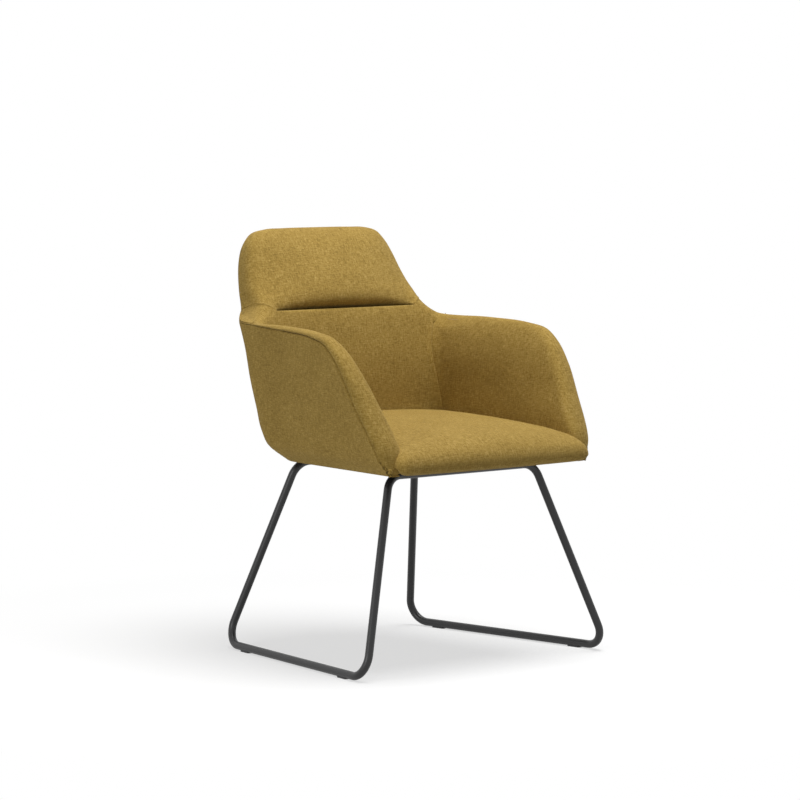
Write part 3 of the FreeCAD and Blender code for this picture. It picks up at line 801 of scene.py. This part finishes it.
# Seat cushion, from its rear over the waterfall front to its underside:
# Y and Z in the middle, Y and Z at the sides, half width
SEAT_ROWS = (
    (142, 474, 128, 469, 186),
    (132, 480.5, 120, 472, 198),
    (112, 483.5, 104, 474, 206),
    (60, 485, 58, 474, 209.5),
    (-20, 485.5, -20, 471, 213.5),
    (-90, 483, -90, 467, 217.5),
    (-160, 478, -160, 462, 221),
    (-205, 473.5, -203, 458, 224),
    (-238, 467, -236, 453, 229),
    (-264, 457, -262, 447, 238),
    (-284, 444, -282, 437, 246),
    (-297, 428, -294, 426, 249),
    (-301, 415, -298, 414, 250),
    (-298, 403, -296, 404, 249),
    (-290, 396.5, -288, 397.5, 246),
    (-277, 394.5, -273, 396, 240),
    (-263, 395, -263, 397, 232),
)
SEAT_SEAM_ROW = 14             # the thin seam under the front follows this row
SEAM_SINK, SEAM_SPREAD = 1.3, 1.8
SEAT_CROWN = 2.3               # the higher, the flatter the seat's middle
EDGE_SINK, EDGE_WIDTH = 15.0, 20.0         # the seat's rolled side edges
# Y and Z of the underside on the seat board, and its width beside the front's
SEAT_UNDERSIDE = ((-262.5, 417.8), (-150, 417.8), (0, 417.8), (118, 417.8), (136, 424.0))
UNDERSIDE_WIDTH = 0.93


def seat():
    """Seat cushion with its crown, rolled side edges and waterfall front."""
    rows = np.array(SEAT_ROWS, float)
    places = places_along(rows[:, :2])
    v = np.linspace(0, places[-1], 150)
    mid_y, mid_z, side_y, side_z, half = np.moveaxis(Curve(places, rows)(v), -1, 0)
    turn = np.linspace(0, math.pi / 2, 14)[1:]
    u = np.concatenate([np.linspace(0, 0.88, 36), 1 - 0.12 * (1 - np.sin(turn))])
    u = np.concatenate([-u[:0:-1], u])
    x = half[:, None] * u
    crown = 1 - np.abs(u) ** SEAT_CROWN
    y = side_y[:, None] + (mid_y - side_y)[:, None] * crown
    z = side_z[:, None] + (mid_z - side_z)[:, None] * crown
    dy, dz = np.gradient(mid_y, v), np.gradient(mid_z, v)
    inward = unit(np.stack([-dz, dy], -1))
    # both go from 0 to 1: ahead over the waterfall front, low down to its lower edge
    ahead = np.clip((-230 - mid_y) / 60, 0, 1)[:, None]
    low = np.clip((412 - mid_z) / 12, 0, 1)[:, None] * ahead
    sunk = rolled(EDGE_SINK + 3 * ahead - 5 * low, half[:, None] - np.abs(x),
                  EDGE_WIDTH + 8 * ahead - 4 * low)
    seam = SEAM_SINK * np.exp(-((v - places[SEAT_SEAM_ROW]) / SEAM_SPREAD) ** 2)
    sunk = sunk + seam[:, None]
    y = y + inward[:, 0:1] * sunk
    z = z + inward[:, 1:2] * sunk
    top = np.stack([x, y, z], -1)
    under = []
    for board_y, board_z in SEAT_UNDERSIDE:
        row = top[-1].copy()
        row[:, 0] *= UNDERSIDE_WIDTH
        row[:, 1], row[:, 2] = board_y, board_z
        under.append(row)
    grid = np.concatenate([top, np.array(under), top[:1]])
    points, faces = grid_mesh([grid])
    count, columns = grid.shape[:2]
    edge = [i * columns for i in range(count - 1)]
    faces += [edge, [i + columns - 1 for i in reversed(edge)]]
    soft_piece("seat_pad", points, faces, "seat_cushion", smoothing=2)


arm_pads()
side_covers()
back_cover()
lower_back()
upper_back()
seat()


# Camera at the photograph's viewpoint, from its vanishing lines and the runners' corners
CAMERA_PLACE = (-4.2843, -5.1278, 1.0611)
CAMERA_RIGHT = (0.76761478, -0.6409115, 0.0)
CAMERA_UP = (0.05238027, 0.06273545, 0.99665469)
CAMERA_BACK = (-0.63876745, -0.76504687, 0.08172777)
SENSOR = 36.0
FOCAL_PIXELS = 3301.0
PHOTO_WIDTH = 800.0


def make_camera():
    """Camera of the calibrated photograph."""
    data = bpy.data.cameras.new("camera")
    data.sensor_width = SENSOR
    data.lens = SENSOR * FOCAL_PIXELS / PHOTO_WIDTH
    data.clip_start, data.clip_end = 0.1, 60.0
    camera = bpy.data.objects.new("camera", data)
    bpy.context.scene.collection.objects.link(camera)
    axes = Matrix((CAMERA_RIGHT, CAMERA_UP, CAMERA_BACK)).transposed()
    camera.matrix_world = Matrix.Translation(CAMERA_PLACE) @ axes.to_4x4()
    bpy.context.scene.camera = camera


def area_light(name, place, target, size, watts):
    """Round soft light that faces its target."""
    data = bpy.data.lights.new(name, "AREA")
    data.shape = "DISK"
    data.size = size
    data.energy = watts
    light = bpy.data.objects.new(name, data)
    bpy.context.scene.collection.objects.link(light)
    light.location = place
    light.rotation_mode = "QUATERNION"
    light.rotation_quaternion = (Vector(target) - Vector(place)).to_track_quat("-Z", "Y")


FLOOR_GLOW = 0.58          # the part of the floor's white that a shadow leaves
SHADOW_SHARE = 0.44        # the part that the light on the floor adds
FADE_START, FADE_END = 0.7, 1.3        # metres from the middle to where the floor is all white
FLOOR_HALF = 14.0
SOFT_LIGHT = 0.27          # strength of the surroundings for all but the camera and reflections


def studio_white():
    """Floor that the camera sees as white, with the chair's soft shadow on it."""
    material, tree, shader = new_material("studio_floor")
    n = Nodes(tree)
    set_shader(shader, Roughness=0.9, Specular_IOR_Level=0.0)
    shader.inputs["Base Color"].default_value = (0.5, 0.5, 0.5, 1)
    glow = tree.nodes.new("ShaderNodeEmission")
    glow.inputs["Strength"].default_value = FLOOR_GLOW
    shaded = tree.nodes.new("ShaderNodeBsdfDiffuse")
    shaded.inputs["Color"].default_value = (SHADOW_SHARE, SHADOW_SHARE, SHADOW_SHARE, 1)
    near = tree.nodes.new("ShaderNodeAddShader")
    tree.links.new(glow.outputs[0], near.inputs[0])
    tree.links.new(shaded.outputs[0], near.inputs[1])
    white = tree.nodes.new("ShaderNodeEmission")
    white.inputs["Strength"].default_value = 1.0
    length = tree.nodes.new("ShaderNodeVectorMath")
    length.operation = "LENGTH"
    tree.links.new(n.coordinates, length.inputs[0])
    away = n.ramp(length.outputs["Value"], FADE_START, FADE_END)
    seen = tree.nodes.new("ShaderNodeMixShader")
    tree.links.new(away, seen.inputs[0])
    tree.links.new(near.outputs[0], seen.inputs[1])
    tree.links.new(white.outputs[0], seen.inputs[2])
    path = tree.nodes.new("ShaderNodeLightPath")
    direct = n.math("MAXIMUM", path.outputs["Is Camera Ray"], path.outputs["Is Glossy Ray"])
    both = tree.nodes.new("ShaderNodeMixShader")
    tree.links.new(direct, both.inputs[0])
    tree.links.new(shader.outputs[0], both.inputs[1])
    tree.links.new(seen.outputs[0], both.inputs[2])
    output = next(node for node in tree.nodes if node.type == "OUTPUT_MATERIAL")
    tree.links.new(both.outputs[0], output.inputs["Surface"])
    return material


def make_floor():
    """White studio floor that keeps the chair's shadow."""
    mesh = bpy.data.meshes.new("floor")
    half = FLOOR_HALF
    mesh.from_pydata([(-half, -half, 0), (half, -half, 0), (half, half, 0), (-half, half, 0)],
                     [], [(0, 1, 2, 3)])
    floor = bpy.data.objects.new("floor", mesh)
    bpy.context.scene.collection.objects.link(floor)
    dress(floor, studio_white())


def make_world():
    """White surroundings for the camera and reflections, a soft even light for the rest."""
    world = bpy.data.worlds.new("studio")
    bpy.context.scene.world = world
    world.use_nodes = True
    tree = world.node_tree
    tree.nodes.clear()
    output = tree.nodes.new("ShaderNodeOutputWorld")
    path = tree.nodes.new("ShaderNodeLightPath")
    soft = tree.nodes.new("ShaderNodeBackground")
    soft.inputs[0].default_value = (1, 1, 1, 1)
    soft.inputs[1].default_value = SOFT_LIGHT
    white = tree.nodes.new("ShaderNodeBackground")
    white.inputs[0].default_value = (1, 1, 1, 1)
    white.inputs[1].default_value = 1.0
    mixed = tree.nodes.new("ShaderNodeMixShader")
    tree.links.new(Nodes(tree).math("MAXIMUM", path.outputs["Is Camera Ray"],
                                    path.outputs["Is Glossy Ray"]), mixed.inputs[0])
    tree.links.new(soft.outputs[0], mixed.inputs[1])
    tree.links.new(white.outputs[0], mixed.inputs[2])
    tree.links.new(mixed.outputs[0], output.inputs["Surface"])


make_camera()
make_floor()
make_world()
area_light("key", (0.3, -0.42, 3.2), (0, 0, 0.5), 2.0, 92)
area_light("side", (-3.0, -0.3, 0.8), (0, 0, 0.6), 1.2, 22)

bpy.context.scene.view_settings.view_transform = "Standard"
